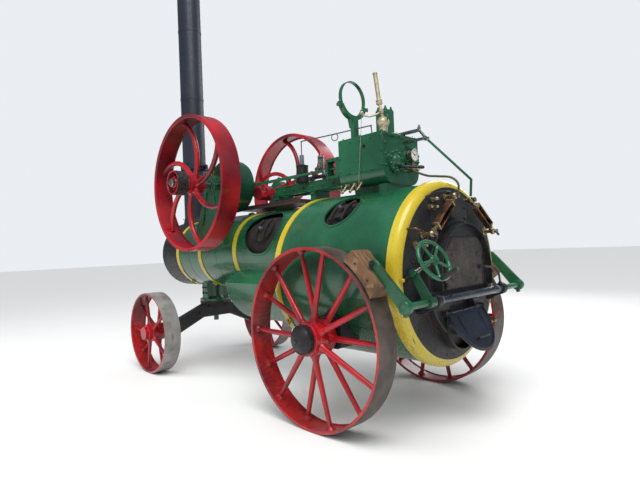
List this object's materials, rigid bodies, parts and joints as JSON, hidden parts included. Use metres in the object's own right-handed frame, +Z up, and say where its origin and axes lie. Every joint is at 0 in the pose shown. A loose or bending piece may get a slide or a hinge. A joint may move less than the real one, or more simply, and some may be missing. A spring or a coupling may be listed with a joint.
{
  "type": "portable steam engine",
  "caption": "Portable steam engine: a green boiler on spoked iron wheels with its engine, curved-spoke flywheels and folding chimney on top.",
  "frame": {"origin": "on the ground under the middle of the whole engine", "axes": "+X forward to the smokebox, +Y to the left side, +Z up"},
  "size_m": [4.4038, 2.016, 5.271],
  "materials": {
    "black": "black paint and soot",
    "brass": "dull brass",
    "cord": "thin twisted cord",
    "door_iron": "browned cast iron",
    "flap_iron": "blue-black plate",
    "green": "gloss green paint, weathered",
    "pipe": "olive-brown pipe",
    "red": "deep red paint, dirty treads",
    "steel": "bright machined steel",
    "tray": "oily red-brown plate",
    "wood": "worn brown wood",
    "yellow": "gloss yellow paint, scratched"
  },
  "bodies": {
    "engine_body": {"main_cladding": "green", "middle_cladding": "green", "boiler_barrel": "green", "boiler_core": "black", "washout_doors": "black", "yellow_bands": "yellow", "rear_flange": "yellow", "backplate": "black", "firebox_drum": "black", "water_gauges": "brass", "smokebox": "black", "chimney_base": "black", "chimney_rest": "green", "cylinder_saddle": "green", "cylinder_block": "green", "cylinder_covers": "green", "safety_valve": "green", "whistle": "brass", "whistle_cord": "cord", "drain_cocks": "brass", "pressure_gauge": "brass", "engine_frame": "green", "slide_bars": "steel", "crosshead": "steel", "connecting_rod": "red", "valve_gear": "green", "oil_tray": "tray", "lubricators": "black", "pedestal_left": "green", "pedestal_right": "green", "axle_bracket_left": "black", "axle_bracket_right": "black", "king_post": "green", "brake_bearings": "black", "steam_pipes": "pipe"},
    "crank": {"crankshaft": "steel", "flywheel_left": "red", "flywheel_right": "red", "belt_pulley": "red", "governor_drum": "green"},
    "rear_left": {"rear_wheel_left": "red", "hub_cap_left": "black"},
    "rear_right": {"rear_wheel_right": "red", "hub_cap_right": "black"},
    "turntable": {"front_axle": "black"},
    "front_left": {"front_wheel_left": "red"},
    "front_right": {"front_wheel_right": "red"},
    "fire_door": {"fire_door": "door_iron"},
    "ash_flap": {"ash_flap": "flap_iron"},
    "smokebox_door": {"smokebox_door": "black"},
    "chimney": {"chimney": "black"},
    "rest_strap": {"rest_strap": "green"},
    "brake": {"brake_shaft": "green", "brake_blocks": "wood"},
    "brake_handwheel": {"handwheel": "green"}
  },
  "joints": [
    {"name": "crank_turn", "type": "hinge", "parent": "engine_body", "child": "crank", "pos_m": [0.76188, 0, 2.059], "axis": [0, 1, 0], "continuous": true},
    {"name": "rear_left_roll", "type": "hinge", "parent": "engine_body", "child": "rear_left", "pos_m": [-1.10512, 0.805, 0.675], "axis": [0, 1, 0], "continuous": true},
    {"name": "rear_right_roll", "type": "hinge", "parent": "engine_body", "child": "rear_right", "pos_m": [-1.10512, -0.805, 0.675], "axis": [0, 1, 0], "continuous": true},
    {"name": "steering", "type": "hinge", "parent": "engine_body", "child": "turntable", "pos_m": [1.55488, 0, 0.45], "axis": [0, 0, 1], "range_deg": [-35, 35]},
    {"name": "front_left_roll", "type": "hinge", "parent": "turntable", "child": "front_left", "pos_m": [1.55488, 0.82, 0.45], "axis": [0, 1, 0], "continuous": true},
    {"name": "front_right_roll", "type": "hinge", "parent": "turntable", "child": "front_right", "pos_m": [1.55488, -0.82, 0.45], "axis": [0, 1, 0], "continuous": true},
    {"name": "fire_door_swing", "type": "hinge", "parent": "engine_body", "child": "fire_door", "pos_m": [-1.90712, 0.2925, 1.15], "axis": [0, 0, -1], "range_deg": [0, 110]},
    {"name": "ash_flap_swing", "type": "hinge", "parent": "engine_body", "child": "ash_flap", "pos_m": [-1.88812, 0, 0.838], "axis": [0, 1, 0], "range_deg": [-31, 40]},
    {"name": "smokebox_door_swing", "type": "hinge", "parent": "engine_body", "child": "smokebox_door", "pos_m": [2.13388, -0.368, 1.332], "axis": [0, 0, -1], "range_deg": [0, 120]},
    {"name": "chimney_fold", "type": "hinge", "parent": "engine_body", "child": "chimney", "pos_m": [1.76988, 0, 2.481], "axis": [0, -1, 0], "range_deg": [0, 90]},
    {"name": "rest_strap_swing", "type": "hinge", "parent": "engine_body", "child": "rest_strap", "pos_m": [-0.86912, -0.184, 2.611], "axis": [1, 0, 0], "range_deg": [0, 130]},
    {"name": "brake_pull", "type": "hinge", "parent": "engine_body", "child": "brake", "pos_m": [-1.94612, 0, 0.951], "axis": [0, 1, 0], "range_deg": [-5, 0]},
    {"name": "brake_handwheel_turn", "type": "hinge", "parent": "engine_body", "child": "brake_handwheel", "pos_m": [-2.00512, 0.58, 1.23], "axis": [-0.8868, 0.087, 0.454], "continuous": true}
  ],
  "couplings": [
    {"joint": "rest_strap_swing", "follows": "chimney_fold", "ratio": 1.4}
  ]
}
